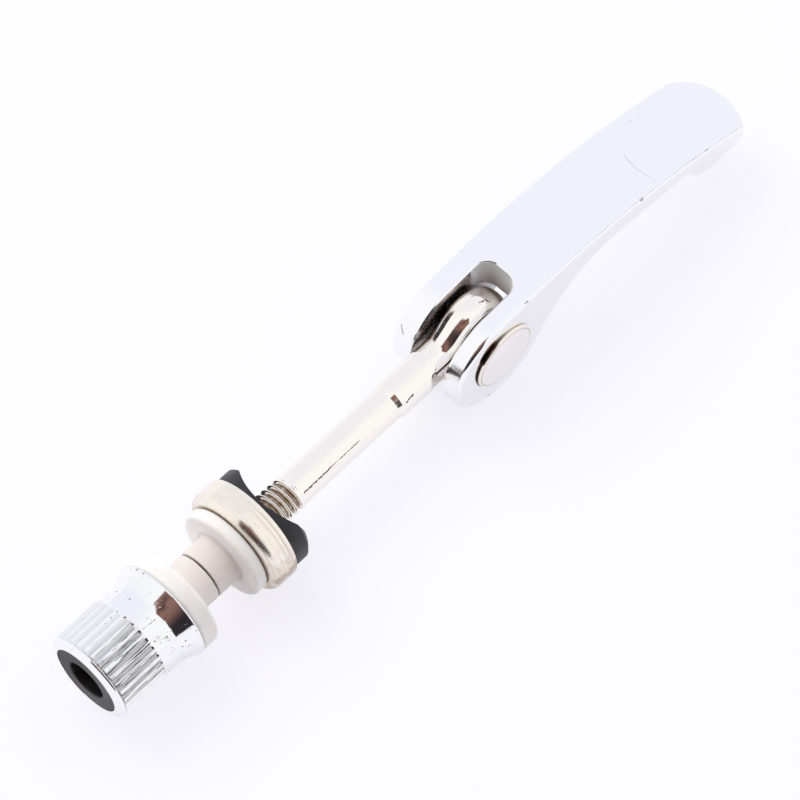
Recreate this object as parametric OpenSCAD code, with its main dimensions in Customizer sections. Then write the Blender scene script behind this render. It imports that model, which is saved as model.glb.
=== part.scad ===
/* [Part] */
// Piece to draw

/* [Rod] */
// Thread outside diameter
thread_d = 8; // [6:0.1:10]
// Thread pitch
thread_pitch = 1.5; // [1:0.05:2]
// Depth of the thread groove
thread_depth = 0.9; // [0.4:0.05:1.2]
// Plain shank diameter between the thread and the step
shank_d = 7.5; // [6:0.1:8]
// Neck diameter between the step and the eye
neck_d = 8.3; // [7:0.1:10]
// Distance from the pivot to the step
step_at = 22.8; // [16:0.1:40]
// Length of the cone at the step
step_len = 1.3; // [0.5:0.1:3]
// Distance from the pivot to the start of the thread
thread_at = 51; // [40:0.5:56]
// Length of the rod inside the nut
rod_in_nut = 15.3; // [10:0.1:15.8]

/* [Eye] */
// Eye outside diameter
eye_d = 18; // [15:0.1:19]
// Fall of the eye's rounded rim from its middle to its flat sides
eye_fall = 2.1; // [0.5:0.1:3]
// Room beside the eye on the closer side of the fork slot
eye_play = 0.5; // [0.2:0.05:1]
// Room round the eye in the end of the fork slot
eye_room = 0.8; // [0.5:0.1:2]
// Radius between the eye and the neck
eye_blend = 4; // [2:0.1:5]
// How far the flats run past the cam
flat_past = 1; // [0.6:0.1:3]
// Length over which the flats run out into the neck
flat_run = 1.6; // [0.5:0.1:4]

/* [Pivot pin] */
// Pin shaft diameter
pin_d = 6; // [4:0.1:8]
// Pin head diameter
head_d = 15.2; // [10:0.1:18]
// Height of the head at its edge
head_edge = 0.7; // [0.4:0.05:1.5]
// Rise of the head's dome above its edge
head_dome = 0.6; // [0.2:0.05:1.2]

/* [Lever] */
// Lever width
lever_w = 18; // [15:0.1:22]
// Distance from the pivot to the lever's tip
lever_reach = 76.4; // [66:0.1:95]
// Radius of the round fork ears that act as the cam
cam_r = 12.4; // [11:0.1:14]
// Cam centre from the pivot, towards the nut
cam_back = 0.6; // [0:0.1:1.5]
// Cam centre from the pivot, downwards
cam_drop = 0.9; // [0:0.1:1.5]
// Rise of the lever's back above the cam
back_rise = 0.7; // [0.3:0.1:2]
// Distance from the pivot to the highest point of the back
back_at = 15; // [10:0.5:20]
// Fall of the arched back from its highest point to the tip
tip_fall = 12.4; // [9:0.1:14]
// Height of the back above the start of the underside
beam_t = 6.1; // [4:0.1:8]
// Thickness of the lever before the finger pad
waist_t = 3.5; // [2.5:0.1:6]
// Radius of the hollow between the cam and the underside
throat_r = 24; // [15:0.5:30]
// Distance from the tip back to the middle of the finger pad
pad_back = 11.8; // [8:0.1:16]
// Depth of the finger pad below the pivot
pad_low = 3.1; // [1:0.1:5]
// Radius of the finger pad's inner side
pad_r = 9.7; // [6:0.1:14]
// Radius of the finger pad's outer side
pad_out_r = 36; // [20:0.5:50]
// Radius between the underside and the finger pad
pad_blend = 2; // [0.5:0.1:4]
// Radius of the tip's flatter side seen from above
tip_r = 12.5; // [10:0.1:20]
// Fork slot width
slot_w = 8.9; // [8:0.1:10]
// Distance of the slot's middle from the lever's middle
slot_shift = 0.45; // [0:0.05:0.6]
// Distance from the pivot to the end of the fork slot
slot_reach = 8.85; // [8.5:0.05:14]
// Radius in the two corners of the slot's end
slot_corner = 3.3; // [1:0.1:3.9]
// Radius along the edges of the back
back_edge = 1.5; // [0.5:0.1:2.5]
// Chamfer round the cam
cam_edge = 0.9; // [0.3:0.1:2]
// Chamfer along the hollow
throat_edge = 0.7; // [0.2:0.1:1.5]

/* [Cam saddle] */
// Distance from the cup's rim to the bottom of the saddle's groove
saddle_sill = 0.9; // [0:0.1:2]
// Radial room for the cam in the groove
groove_play = 0.1; // [0:0.05:0.5]
// Height of the horns above the bottom of the groove
horn_h = 3.7; // [2:0.1:4.5]
// Chamfer round the horns
horn_edge = 0.9; // [0.2:0.1:1.5]
// Angle of the groove from upright
saddle_turn = 6; // [0:1:90]

/* [Cup washer] */
// Distance from the pivot to the cup's rim
cup_at = 61.1; // [58:0.1:64]
// Cup outside diameter
cup_d = 23.7; // [20:0.1:26]
// Cup height
cup_h = 6; // [4:0.1:8]
// Cup wall thickness
cup_wall = 0.6; // [0.4:0.05:1.5]
// Cup floor thickness
cup_floor = 0.9; // [0.5:0.05:2]
// Radius of the corner between wall and floor
cup_corner = 2; // [1:0.1:3]

/* [Bushes] */
// Outside diameter of both stems, which sit in the clamp's holes
stem_d = 10.8; // [9.5:0.1:13]
// Length of each stem
stem_len = 5.4; // [3:0.1:9]
// Inner flange diameter
inner_flange_d = 19.9; // [14:0.1:23]
// Inner flange thickness
inner_flange_t = 3; // [1.5:0.1:5]
// Outer flange diameter
outer_flange_d = 21.8; // [16:0.1:24]
// Outer flange thickness
outer_flange_t = 4.1; // [2:0.1:6]
// Radius round the flange edges
flange_edge = 0.8; // [0.2:0.1:1.4]
// Gap between the two stems
stem_gap = 0.45; // [0.2:0.05:3]

/* [Nut] */
// Nut length
nut_len = 20.6; // [16:0.1:26]
// Diameter over the fluted grip
grip_d = 19.6; // [17:0.1:24]
// Length of the fluted grip
grip_len = 10.5; // [6:0.1:12]
// Number of flutes
flute_count = 32; // [16:1:48]
// Flute depth
flute_depth = 0.4; // [0.2:0.05:0.8]
// Flute cutter radius
flute_r = 0.9; // [0.5:0.05:1.5]
// Length of the lip at the outer end
lip_len = 1.1; // [0.5:0.1:2]
// Neck diameter behind the flare
waist_d = 19.1; // [16:0.1:22]
// Flare diameter
flare_d = 22.2; // [20:0.1:26]
// Length of the flare
flare_len = 4.6; // [2:0.1:6]
// Depth of the pocket in the outer end
pocket_len = 4.6; // [2:0.1:8]
// Insert diameter
insert_d = 15.4; // [12:0.1:17]
// Radial room for the rod in the insert
insert_play = 0.35; // [0.2:0.05:1]

/* [Fits] */
// Radial clearance of the nut's thread on the rod
thread_play = 0.06; // [0.02:0.01:0.1]
// Radial clearance of the pin in the eye
pin_play = 0.05; // [0.02:0.01:0.1]
// Radial clearance of a pressed piece
press_play = 0.02; // [0.01:0.01:0.05]
// Radial clearance of the loose pieces on the rod
loose_play = 0.3; // [0.2:0.05:0.6]
// Gap between faces that rest on each other
face_gap = 0.05; // [0.02:0.01:0.2]

/* [Hidden] */
$fn = 96;
thread_r = thread_d / 2;
loose_r = max(thread_r, neck_d / 2) + loose_play;
pin_r = pin_d / 2;
eye_r = eye_d / 2;
lever_half = lever_w / 2;
slot_half = slot_w / 2;
eye_half = slot_half - slot_shift - eye_play;
cup_r = cup_d / 2;
saddle_r = cup_r - cup_wall - 2 * face_gap;
stem_r = stem_d / 2;
flare_r = flare_d / 2;
grip_r = grip_d / 2;
waist_r = waist_d / 2;
insert_r = insert_d / 2;
insert_bore_r = thread_r + insert_play;
groove_r = cam_r + groove_play;

// Stations along the rod, counted from the pivot towards the nut
cup_base = cup_at + cup_h;
inner_face = cup_base + face_gap;
inner_seat = inner_face + inner_flange_t;
inner_end = inner_seat + stem_len;
outer_end = inner_end + stem_gap;
outer_seat = outer_end + stem_len;
outer_face = outer_seat + outer_flange_t;
nut_face = outer_face + face_gap;
nut_end = nut_face + nut_len;
grip_end = nut_end - lip_len;
grip_at = grip_end - grip_len;
pocket_at = nut_end - pocket_len;
rod_end = nut_face + rod_in_nut;
flat_at = cam_r + cam_back + flat_past;

// Arc that leads from the neck into the eye
blend_r = neck_d / 2 + eye_blend;
blend_at = sqrt(pow(eye_r - 0.15 + eye_blend, 2) - pow(blend_r, 2));
blend_turn = atan2(blend_at, blend_r);
groove_at = cup_at - saddle_sill;
horn_at = groove_at - horn_h;

// Side outline of the lever, whose back and hollow are arcs
back_h = cam_r - cam_drop + back_rise;
back_r = (pow(lever_reach - back_at, 2) + pow(tip_fall, 2)) / (2 * tip_fall);
hollow_z = back_h - beam_t - throat_r;
hollow_x = sqrt(pow(cam_r + throat_r, 2) - pow(hollow_z + cam_drop, 2)) - cam_back;
touch_x = cam_r * (hollow_x + cam_back) / (cam_r + throat_r) - cam_back;
touch_z = cam_r * (hollow_z + cam_drop) / (cam_r + throat_r) - cam_drop;
pad_x = lever_reach - pad_back;
waist_x = pad_x - 0.95 * pad_r;
waist_z = back_z(waist_x) - waist_t;

// Arc between the underside and the finger pad
fall = atan2(back_h - beam_t - waist_z, waist_x - hollow_x);
corner_x = pad_x - waist_x;
corner_z = pad_r - pad_low - waist_z;
across = corner_x * cos(fall) - corner_z * sin(fall);
above = corner_x * sin(fall) + corner_z * cos(fall) + pad_blend;
along = across - sqrt(pow(pad_r + pad_blend, 2) - pow(above, 2));
blend_x = waist_x + along * cos(fall) - pad_blend * sin(fall);
blend_z = waist_z - along * sin(fall) - pad_blend * cos(fall);

// The pieces are drawn about the pivot and moved to the middle of the base
shift_x = (nut_end - lever_reach) / 2;
shift_z = cam_r + cam_drop;

// Points of an arc round [x, y]
function bend(x, y, r, from, to, steps = 8) = [
    for (i = [0:steps]) let (turn = from + (to - from) * i / steps) [x + r * cos(turn), y + r * sin(turn)]
];

// Height of the lever's back
function back_z(x) = back_h - back_r + sqrt(pow(back_r, 2) - pow(x - back_at, 2));

// Turns a profile of [radius, distance from the pivot] points about the rod
module turned(points) {
    rotate([0, -90, 0]) rotate_extrude() polygon(points);
}

module placed() {
    translate([shift_x, 0, shift_z]) children();
}

// Turns a profile of [radius, distance along the pin] points about the pivot
module pinwise(points) {
    rotate([90, 0, 0]) rotate_extrude() polygon(points);
}

// A disc about the pivot whose rim falls away to its flat sides along a quarter of an ellipse
module crowned_disc(r, half, fall) {
    rim = [for (i = [-8:8]) [r - fall + fall * cos(11.25 * i), half * sin(11.25 * i)]];
    pinwise(concat([[0, -half]], rim, [[0, half]]));
}

// A disc about the pivot with chamfered edges
module edged_disc(r, half, edge) {
    pinwise([
        [0, -half], [r - edge, -half], [r, edge - half],
        [r, half - edge], [r - edge, half], [0, half]
    ]);
}

module rod_bore(r) {
    rotate([0, -90, 0]) cylinder(h = 2 * nut_end, r = r);
}

module eye_bolt() {
    crest = thread_pitch / 8;
    turns = floor((rod_end - thread_at - 1) / thread_pitch);
    groove = [
        for (i = [0:turns - 1])
            for (p = [[0, 0.5], [thread_depth, 3], [thread_depth, 5], [0, 7.5]])
                [thread_r - p[0], thread_at + thread_pitch * i + p[1] * crest]
    ];
    color([0.74, 0.71, 0.67]) placed() difference() {
        union() {
            turned(concat(
                [[0, 0], [blend_r - eye_blend * cos(blend_turn), 0]],
                bend(blend_r, blend_at, eye_blend, 180 + blend_turn, 180),
                [[neck_d / 2, step_at], [shank_d / 2, step_at + step_len]],
                [[shank_d / 2, thread_at - 0.4], [thread_r, thread_at]],
                groove,
                [[thread_r, rod_end - 0.8], [thread_r - 0.8, rod_end], [0, rod_end]]));
            crowned_disc(eye_r, eye_half, eye_fall);
        }
        for (side = [0, 1])
            mirror([0, side, 0])
                translate([0, 0, -neck_d]) linear_extrude(height = 2 * neck_d) polygon([
                    [-flat_at - flat_run, neck_d / 2], [-flat_at, eye_half], [0, eye_half],
                    [0, neck_d], [-flat_at - flat_run, neck_d]
                ]);
        rotate([90, 0, 0]) cylinder(h = 3 * slot_w, r = pin_r + pin_play, center = true);
    }
}

module lever_outline() {
    intersection() {
        translate([back_at, back_h - back_r]) circle(back_r, $fn = 720);
        union() {
            difference() {
                polygon([
                    [-3, 2 * back_h], [-3, touch_z], [touch_x, touch_z], [hollow_x, back_h - beam_t],
                    [waist_x, waist_z], [lever_reach, waist_z], [lever_reach, 2 * back_h]
                ]);
                translate([hollow_x, hollow_z]) circle(throat_r + 0.05);
            }
            difference() {
                polygon([
                    [blend_x + pad_blend * sin(fall), blend_z + pad_blend * cos(fall)],
                    [pad_x, pad_r - pad_low],
                    [blend_x, blend_z]
                ]);
                translate([blend_x, blend_z]) circle(pad_blend + 0.02, $fn = 48);
            }
            intersection() {
                translate([pad_x, pad_r - pad_low]) circle(pad_r);
                translate([0, -pad_low - 1]) square([pad_x, 2 * back_h]);
            }
            intersection() {
                translate([pad_x, pad_out_r - pad_low]) circle(pad_out_r);
                translate([pad_x, -pad_low - 1]) square([pad_back, 2 * back_h]);
            }
        }
    }
}

// What the rounding takes off one edge of the back
module back_rounding() {
    inner = back_r - back_edge;
    side = lever_half - back_edge;
    translate([back_at, 0, back_h - back_r]) pinwise(concat(
        bend(inner, side, back_edge + 0.02, 0, 90, 5),
        [[inner - 1, lever_half + 0.05], [inner - 1, lever_half + 1]],
        [[back_r + 1, lever_half + 1], [back_r + 1, side - 1], [back_r + 0.05, side - 1]]));
}

// What the chamfer takes off one edge of the hollow
module hollow_chamfer() {
    translate([hollow_x, 0, hollow_z]) pinwise([
        [throat_r - 1, lever_half - throat_edge - 1],
        [throat_r + throat_edge + 1, lever_half + 1], [throat_r - 1, lever_half + 1]
    ]);
}

// The lever's outline seen from above
module lever_plan() {
    polygon(concat(
        [[-cam_r, -lever_half]],
        bend(lever_reach - tip_r, 0, tip_r, -asin(lever_half / tip_r), 0, 10),
        bend(lever_reach - lever_half, 0, lever_half, 0, 90, 16),
        [[-cam_r, lever_half]]));
}

// The fork slot seen from above
module slot_plan() {
    corner_x = slot_reach - slot_corner;
    corner_y = slot_half - slot_corner;
    polygon(concat(
        [[-2 * cam_r, -slot_half]],
        bend(corner_x, -corner_y, slot_corner, -90, 0),
        bend(corner_x, corner_y, slot_corner, 0, 90),
        [[-2 * cam_r, slot_half]]));
}

module lever() {
    color([0.8, 0.81, 0.84]) placed() difference() {
        union() {
            translate([-cam_back, 0, -cam_drop]) edged_disc(cam_r, lever_half, cam_edge);
            difference() {
                intersection() {
                    rotate([90, 0, 0]) linear_extrude(height = lever_w, center = true) lever_outline();
                    translate([0, 0, -cam_r]) linear_extrude(height = 3 * cam_r) lever_plan();
                }
                back_rounding();
                mirror([0, 1, 0]) back_rounding();
            }
        }
        hollow_chamfer();
        mirror([0, 1, 0]) hollow_chamfer();
        translate([0, -slot_shift, -2 * cam_r]) linear_extrude(height = 4 * cam_r) slot_plan();
        translate([0, -slot_shift, 0]) rotate([90, 0, 0])
            cylinder(h = slot_w, r = eye_r + eye_room, center = true);
        rotate([90, 0, 0]) cylinder(h = 2 * lever_w, r = pin_r + press_play, center = true);
    }
}

module pivot_pin() {
    seat = lever_half + face_gap / 5;
    dome_r = (pow(head_d / 2, 2) + pow(head_dome, 2)) / (2 * head_dome);
    dome = [for (i = [0:6]) let (r = head_d / 2 * (1 - i / 6))
        [r, seat + head_edge + sqrt(pow(dome_r, 2) - pow(r, 2)) - dome_r + head_dome]];
    color([0.78, 0.75, 0.72]) placed() for (side = [0, 1])
        mirror([0, side, 0])
            pinwise(concat([[0, 0], [pin_r, 0], [pin_r, seat], [head_d / 2, seat]], dome));
}

module cam_saddle() {
    base = cup_base - cup_floor - face_gap;
    foot = cup_corner - cup_wall + face_gap;
    color([0.07, 0.07, 0.08]) placed() difference() {
        turned([[0, base], [saddle_r - foot, base], [saddle_r, base - foot], [saddle_r, horn_at + horn_edge],
            [saddle_r - horn_edge, horn_at], [0, horn_at]]);
        rotate([saddle_turn, 0, 0]) translate([groove_r - groove_at, 0, 0])
            cylinder(h = 2 * cup_d, r = groove_r, center = true);
        rod_bore(loose_r);
    }
}

module cup_washer() {
    bend_in = cup_corner - cup_wall;
    color([0.76, 0.73, 0.69]) placed() difference() {
        turned(concat([[0, cup_at], [cup_r - 0.15, cup_at], [cup_r, cup_at + 0.15]],
            bend(cup_r - cup_corner, cup_base - cup_corner, cup_corner, 0, 90),
            [[0, cup_base]]));
        turned(concat([[0, cup_at - 1], [cup_r - cup_wall, cup_at - 1]],
            bend(cup_r - cup_corner, cup_base - cup_floor - bend_in, bend_in, 0, 90),
            [[0, cup_base - cup_floor]]));
        rod_bore(loose_r);
    }
}

// A flanged bush: its flange from face to seat, its stem from seat to tip
module bush(r, face, seat, tip) {
    way = sign(tip - seat);
    turned(concat([[loose_r, face]],
        bend(r - flange_edge, face + way * flange_edge, flange_edge, -90 * way, 0),
        bend(r - flange_edge, seat - way * flange_edge, flange_edge, 0, 90 * way),
        [[stem_r, seat], [stem_r, tip - 0.2 * way], [stem_r - 0.2, tip], [loose_r, tip]]));
}

module inner_bush() {
    color([0.9, 0.88, 0.86]) placed() bush(inner_flange_d / 2, inner_face, inner_seat, inner_end);
}

module outer_bush() {
    color([0.9, 0.88, 0.86]) placed() bush(outer_flange_d / 2, outer_face, outer_seat, outer_end);
}

// What one flute takes off the grip, with a cone where it runs out
module flute() {
    translate([-grip_at - 0.2, 0, grip_r - flute_depth + flute_r]) rotate([0, -90, 0]) {
        cylinder(h = grip_len - 0.3, r = flute_r, $fn = 24);
        translate([0, 0, -1]) cylinder(h = 1, r1 = flute_r - flute_depth, r2 = flute_r, $fn = 24);
    }
}

module nut_shell() {
    groove_floor = grip_r - flute_depth - 0.05;
    flare = [
        for (i = [0:10]) let (r = waist_r + (flare_r - waist_r) * pow(1 - i / 10, 1.3))
            [r, nut_face + 0.3 + (flare_len - 0.3) * i / 10]
    ];
    color([0.82, 0.83, 0.86]) placed() difference() {
        turned(concat(
            [[0, nut_face], [flare_r - 0.3, nut_face]],
            flare,
            [[waist_r, grip_at - 0.3], [grip_r, grip_at], [grip_r, grip_end - 0.3]],
            [[groove_floor, grip_end - 0.2], [groove_floor, grip_end], [grip_r, grip_end + 0.1]],
            [[grip_r - 0.2, nut_end - 0.6], [insert_r + 0.35, nut_end], [0, nut_end]]));
        for (i = [0:flute_count - 1])
            rotate([360 * i / flute_count, 0, 0]) flute();
        translate([-pocket_at, 0, 0]) rotate([0, -90, 0]) cylinder(h = 2 * pocket_len, r = insert_r);
        rod_bore(thread_r + thread_play);
    }
}

module nut_insert() {
    r = insert_r - press_play;
    back = pocket_at + face_gap;
    front = nut_end - 0.1;
    color([0.06, 0.06, 0.07]) placed() turned([
        [insert_bore_r, back], [r, back], [r, front - 0.25], [r - 0.25, front],
        [insert_bore_r + 0.3, front], [insert_bore_r, front - 0.3]
    ]);
}

eye_bolt();
lever();
pivot_pin();
cam_saddle();
cup_washer();
inner_bush();
outer_bush();
nut_shell();
nut_insert();
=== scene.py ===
import math
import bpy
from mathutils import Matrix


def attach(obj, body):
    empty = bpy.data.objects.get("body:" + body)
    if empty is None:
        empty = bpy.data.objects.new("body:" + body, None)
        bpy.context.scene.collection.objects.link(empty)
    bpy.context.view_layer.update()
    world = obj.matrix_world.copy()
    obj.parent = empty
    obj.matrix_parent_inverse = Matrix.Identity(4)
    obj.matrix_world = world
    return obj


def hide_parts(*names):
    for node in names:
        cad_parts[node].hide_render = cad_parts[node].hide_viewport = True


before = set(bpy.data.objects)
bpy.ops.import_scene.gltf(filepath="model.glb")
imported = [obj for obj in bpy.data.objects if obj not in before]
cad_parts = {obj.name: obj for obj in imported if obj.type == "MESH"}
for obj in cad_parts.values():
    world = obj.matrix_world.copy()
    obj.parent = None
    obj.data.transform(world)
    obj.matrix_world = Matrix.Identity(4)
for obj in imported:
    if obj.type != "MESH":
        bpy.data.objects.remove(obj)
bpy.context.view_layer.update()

from types import SimpleNamespace as Named

import bmesh
import bpy
import numpy as np
from mathutils import Matrix, Vector

print("frame loaded")

# Everything is drawn in millimetres from the pivot: x along the rod towards the lever's tip,
# y along the pivot pin, z up. d is the distance from the pivot towards the nut, so x = -d.
pivotPlace = np.array([14.875, 0.0, 13.3])
tau = 2 * math.pi
weldReach = 1e-6  # metres


# helpers for meshes

def circle(count):
    return np.arange(count) * tau / count


def aroundRod(x, radius, angle):
    # a point turned round the rod: x stays, y is the radius times minus the sine, z the radius times the cosine
    x, radius, angle = np.broadcast_arrays(x, radius, angle)
    return np.stack([x, -radius * np.sin(angle), radius * np.cos(angle)], -1)


def aroundPin(radius, along, angle):
    # a point turned round the pin: x and z are the radius times the cosine and sine
    radius, along, angle = np.broadcast_arrays(radius, along, angle)
    return np.stack([radius * np.cos(angle), along, radius * np.sin(angle)], -1)


def turned(profile):
    # carries a [radius, distance] profile round the rod
    return aroundRod(-profile[:, 1:], profile[:, :1], circle(192))


def meshOf(name, points, wrapRows=False, wrapCols=True):
    # each cell of the grid of points becomes one four-sided face, and a wrapped side joins its last row to
    # its first; a row drawn in to one point is welded and closes the shape there
    rows, cols = points.shape[:2]
    r = np.arange(rows if wrapRows else rows - 1)[:, None]
    c = np.arange(cols if wrapCols else cols - 1)[None, :]
    nextR, nextC = (r + 1) % rows, (c + 1) % cols
    corners = [r * cols + c, r * cols + nextC, nextR * cols + nextC, nextR * cols + c]
    faces = np.stack(corners, -1).reshape(-1, 4)
    mesh = bpy.data.meshes.new(name)
    mesh.vertices.add(rows * cols)
    mesh.vertices.foreach_set("co", ((points.reshape(-1, 3) + pivotPlace) / 1000).ravel())
    mesh.loops.add(faces.size)
    mesh.loops.foreach_set("vertex_index", faces.ravel().astype(np.int32))
    mesh.polygons.add(len(faces))
    mesh.polygons.foreach_set("loop_start", np.arange(0, faces.size, 4, dtype=np.int32))
    mesh.update(calc_edges=True)
    mesh.validate()
    shell = bmesh.new()
    shell.from_mesh(mesh)
    bmesh.ops.remove_doubles(shell, verts=shell.verts, dist=weldReach)
    bmesh.ops.dissolve_degenerate(shell, edges=shell.edges, dist=weldReach / 2)
    bmesh.ops.recalc_face_normals(shell, faces=shell.faces)
    shell.to_mesh(mesh)
    shell.free()
    return mesh


def objectOf(data):
    made = bpy.data.objects.new(data.name, data)
    bpy.context.scene.collection.objects.link(made)
    return made


def cylinderCutter(radius, middle, reach, segments):
    # a closed cylinder along the pin's direction, reaching as far to each side of its middle
    radii = np.array([0, radius, radius, 0])[:, None]
    along = np.array([-reach, -reach, reach, reach])[:, None]
    return meshOf("cutter", aroundPin(radii, along, circle(segments)) + middle)


def cutAway(piece, cutters):
    # takes closed cutter meshes out of the piece and leaves one plain mesh
    helpers = [objectOf(cutter) for cutter in cutters]
    for helper in helpers:
        cut = piece.modifiers.new("cut", "BOOLEAN")
        cut.operation, cut.solver, cut.object = "DIFFERENCE", "EXACT", helper
    seen = piece.evaluated_get(bpy.context.evaluated_depsgraph_get())
    result = bpy.data.meshes.new_from_object(seen)
    piece.modifiers.clear()
    piece.data = result
    for helper in helpers:
        bpy.data.objects.remove(helper)


def finishPiece(mesh, body, node, material, sharpAngle, cutters=()):
    piece = objectOf(mesh)
    if cutters:
        cutAway(piece, cutters)
    mesh = piece.data
    mesh.polygons.foreach_set("use_smooth", np.ones(len(mesh.polygons), dtype=bool))
    mesh.set_sharp_from_angle(angle=math.radians(sharpAngle))
    mesh.update()
    mesh.materials.clear()
    mesh.materials.append(material)
    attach(piece, body)
    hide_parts(node)
    print("piece", piece.name, len(mesh.polygons), "faces")


def softProfile(corners, steps=6, closed=True):
    # corners are (radius, distance, rounding). Each corner becomes an arc tangent to its two sides,
    # and a close point beside each end of the arc keeps the flat next to it looking flat
    out = []
    count = len(corners)
    for i, (r, d, rounding) in enumerate(corners):
        here = np.array([r, d], float)
        isEnd = not closed and i in (0, count - 1)
        if rounding <= 0 or isEnd:
            out.append(here[None])
            continue
        before = np.array(corners[i - 1][:2], float) - here
        after = np.array(corners[(i + 1) % count][:2], float) - here
        beforeLen, afterLen = np.linalg.norm(before), np.linalg.norm(after)
        u, v = before / beforeLen, after / afterLen
        half = math.acos(np.clip(u @ v, -1, 1)) / 2
        reach = min(rounding / math.tan(half), 0.48 * beforeLen, 0.48 * afterLen)
        radius = reach * math.tan(half)
        middle = here + (u + v) / np.linalg.norm(u + v) * radius / math.sin(half)
        first, last = here + u * reach - middle, here + v * reach - middle
        angle = math.atan2(first[0] * last[1] - first[1] * last[0], first @ last)
        turn = np.linspace(0, angle, steps + 1)[:, None]
        side = np.array([-first[1], first[0]])
        arc = middle + first * np.cos(turn) + side * np.sin(turn)
        ease = 0.02 * reach
        out += [(here + u * (reach + ease))[None], arc, (here + v * (reach + ease))[None]]
    return np.concatenate(out)


def smoothStep(t):
    t = np.clip(t, 0, 1)
    return t * t * (3 - 2 * t)


def softMin(a, b, width):
    # the lower of two heights, with the crease between them rounded over about width
    h = np.clip(0.5 + 0.5 * (b - a) / width, 0, 1)
    return b * (1 - h) + a * h - width * h * (1 - h)


def softMax(a, b, width):
    return -softMin(-a, -b, width)


# helpers for materials

class Value:
    # a shader value that sums can be written with: each sign places one math node
    def __init__(self, nodes, socket):
        self.nodes, self.socket = nodes, socket

    def __add__(self, other):
        return self.nodes.math("ADD", self, other)

    def __sub__(self, other):
        return self.nodes.math("SUBTRACT", self, other)

    def __rsub__(self, other):
        return self.nodes.math("SUBTRACT", other, self)

    def __mul__(self, other):
        return self.nodes.math("MULTIPLY", self, other)

    def __lt__(self, other):
        return self.nodes.math("LESS_THAN", self, other)

    def __gt__(self, other):
        return self.nodes.math("GREATER_THAN", self, other)

    def __abs__(self):
        return self.nodes.math("ABSOLUTE", self)


class NodeTree:
    # short calls for placing and joining nodes
    def __init__(self, tree):
        self.tree = tree

    def plug(self, socket, value):
        if isinstance(value, Value):
            value = value.socket
        if isinstance(value, bpy.types.NodeSocket):
            self.tree.links.new(value, socket)
        else:
            socket.default_value = value

    def add(self, kind, *given, **settings):
        # the given values go into the node's first sockets in turn
        node = self.tree.nodes.new(kind)
        for name, value in settings.items():
            setattr(node, name, value)
        for socket, value in zip(node.inputs, given):
            self.plug(socket, value)
        return node

    def fill(self, node, **given):
        for name, value in given.items():
            self.plug(node.inputs[name], value)
        return node

    def math(self, operation, a, b=0.0, clamp=False):
        return Value(self, self.add("ShaderNodeMath", a, b, operation=operation, use_clamp=clamp).outputs[0])

    def highest(self, first, *others):
        for other in others:
            first = self.math("MAXIMUM", first, other)
        return first

    def hypot(self, a, b):
        return self.math("SQRT", a * a + b * b)

    def vector(self, operation, a, b, out="Vector"):
        return Value(self, self.add("ShaderNodeVectorMath", a, b, operation=operation).outputs[out])

    def dot(self, a, b):
        return self.vector("DOT_PRODUCT", a, b, "Value")

    def split(self, kind, value):
        # the three parts of a vector or a colour
        return [Value(self, part) for part in self.add("ShaderNodeSeparate" + kind, value).outputs]

    def ramp(self, value, low, high, toLow=0.0, toHigh=1.0):
        # goes smoothly from toLow to toHigh while the value goes from low to high
        node = self.add("ShaderNodeMapRange", value, low, high, toLow, toHigh, interpolation_type="SMOOTHSTEP")
        return Value(self, node.outputs[0])

    def mixColour(self, amount, a, b):
        node = self.add("ShaderNodeMix", amount, data_type="RGBA")
        self.plug(node.inputs[6], a)
        self.plug(node.inputs[7], b)
        return node.outputs[2]

    def noise(self, place, scale, detail=2.0, roughness=0.5):
        node = self.fill(self.add("ShaderNodeTexNoise"), Vector=place, Scale=scale, Detail=detail,
                         Roughness=roughness)
        return Value(self, node.outputs[0])

    def group(self, tree, **given):
        # one value, or a list of them where the group puts out more
        node = self.fill(self.add("ShaderNodeGroup", node_tree=tree), **given)
        values = [Value(self, socket) for socket in node.outputs]
        return values[0] if len(values) == 1 else values


def newGroup(name, outputs, **inputs):
    # an input is a vector where None is given, and otherwise a number
    tree = bpy.data.node_groups.new(name, "ShaderNodeTree")
    for label, value in inputs.items():
        kind = "NodeSocketVector" if value is None else "NodeSocketFloat"
        socket = tree.interface.new_socket(label, in_out="INPUT", socket_type=kind)
        if value is not None:
            socket.default_value = value
    for label in outputs:
        tree.interface.new_socket(label, in_out="OUTPUT", socket_type="NodeSocketFloat")
    n = NodeTree(tree)
    given = [Value(n, socket) for socket in n.add("NodeGroupInput").outputs][:len(inputs)]
    return tree, n, given, n.add("NodeGroupOutput").inputs


def makePits():
    # small round dents: a cell has one only where its random colour is under the density
    tree, n, (place, perMetre, density, size), out = newGroup(
        "platingPits", ["Mask"], Place=None, Cells=1500.0, Density=0.1, Size=0.3)
    cells = n.fill(n.add("ShaderNodeTexVoronoi"), Vector=place, Scale=perMetre)
    luck, spread = n.split("Color", cells.outputs["Color"])[:2]
    reach = size * (spread + 0.4)
    dent = 1.0 - n.ramp(cells.outputs["Distance"], reach * 0.5, reach)
    n.plug(out["Mask"], dent * (luck < density))
    return tree


def makeSmudges():
    # broad soft patches and a fine grain, for roughness that isn't even
    tree, n, (place, patches, low, high), out = newGroup(
        "smudges", ["Rough"], Place=None, Patches=90.0, Low=0.1, High=0.2)
    broad = n.noise(place, patches, 3.0, 0.55)
    fine = n.noise(place, patches * 14.0)
    n.plug(out["Rough"], n.ramp(broad * 0.75 + fine * 0.25, 0.35, 0.65, low, high))
    return tree


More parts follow.
